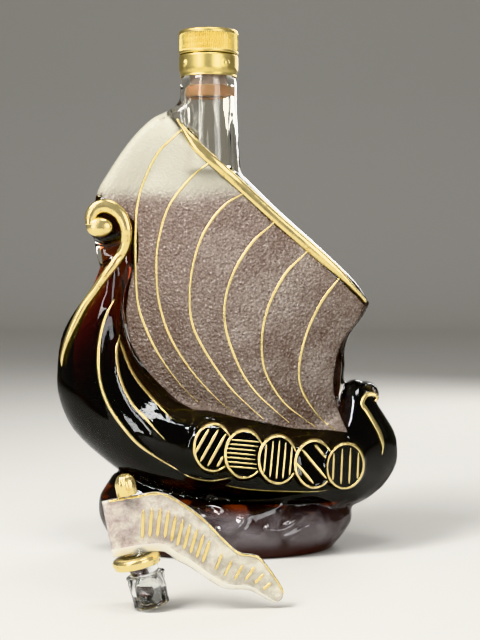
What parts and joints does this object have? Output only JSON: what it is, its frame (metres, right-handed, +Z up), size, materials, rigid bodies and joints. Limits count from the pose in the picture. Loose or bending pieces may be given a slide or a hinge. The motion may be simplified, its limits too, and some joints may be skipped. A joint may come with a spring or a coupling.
{
  "type": "ship-shaped decanter",
  "caption": "Glass decanter moulded as a longship with a frosted sail, gilt prow scroll, round shields and wave foot, with a screw cap and a loose pennant stopper.",
  "frame": {"origin": "centre of the foot's underside, on the table", "axes": "+X from the prow towards the stern, +Y from the front towards the back, +Z up"},
  "size_m": [0.1848, 0.1886, 0.279],
  "materials": {
    "moulded_glass": "polished on the hull, neck and foot, sugar-frosted on the sail",
    "brandy": "clear dark amber liquid",
    "copper_plastic": "satin",
    "gold_aluminium": "gold anodised, satin, knurled side",
    "cap_wad": "matt",
    "fired_gold": "bright fired gold, slightly uneven and worn",
    "frosted_glass": "frosted",
    "clear_plastic": "clear, fluted"
  },
  "bodies": {
    "root": {"bottle_glass": "moulded_glass", "brandy": "brandy", "pouring_insert": "copper_plastic", "yard_gilding_front": "fired_gold", "yard_gilding_back": "fired_gold", "prow_gilding_front": "fired_gold", "prow_gilding_back": "fired_gold", "stern_gilding_front": "fired_gold", "stern_gilding_back": "fired_gold"},
    "liner": {"cap_liner": "cap_wad"},
    "cap": {"cap_shell": "gold_aluminium"},
    "band": {"tamper_band": "gold_aluminium"},
    "stopper": {"stopper_glass": "frosted_glass", "stopper_finial": "fired_gold", "stopper_collar": "fired_gold", "stopper_sleeve": "clear_plastic"}
  },
  "joints": [
    {"name": "cap_rise", "type": "slide", "parent": "root", "child": "liner", "axis": [0, 0, 1], "range_m": [0, 0.013]},
    {"name": "cap_turn", "type": "hinge", "parent": "liner", "child": "cap", "pos_m": [-0.009, 0, 0.27], "axis": [0, 0, 1], "range_deg": [0, 1440]},
    {"name": "band_turn", "type": "hinge", "parent": "root", "child": "band", "pos_m": [-0.009, 0, 0.26], "axis": [0, 0, 1], "continuous": true},
    {"name": "stopper_lift", "type": "slide", "parent": "root", "child": "stopper", "axis": [0, 0, 1], "range_m": [0, 0.08]}
  ],
  "couplings": [
    {"joint": "cap_rise", "follows": "cap_turn", "m_per_rad": 0.00050532}
  ]
}
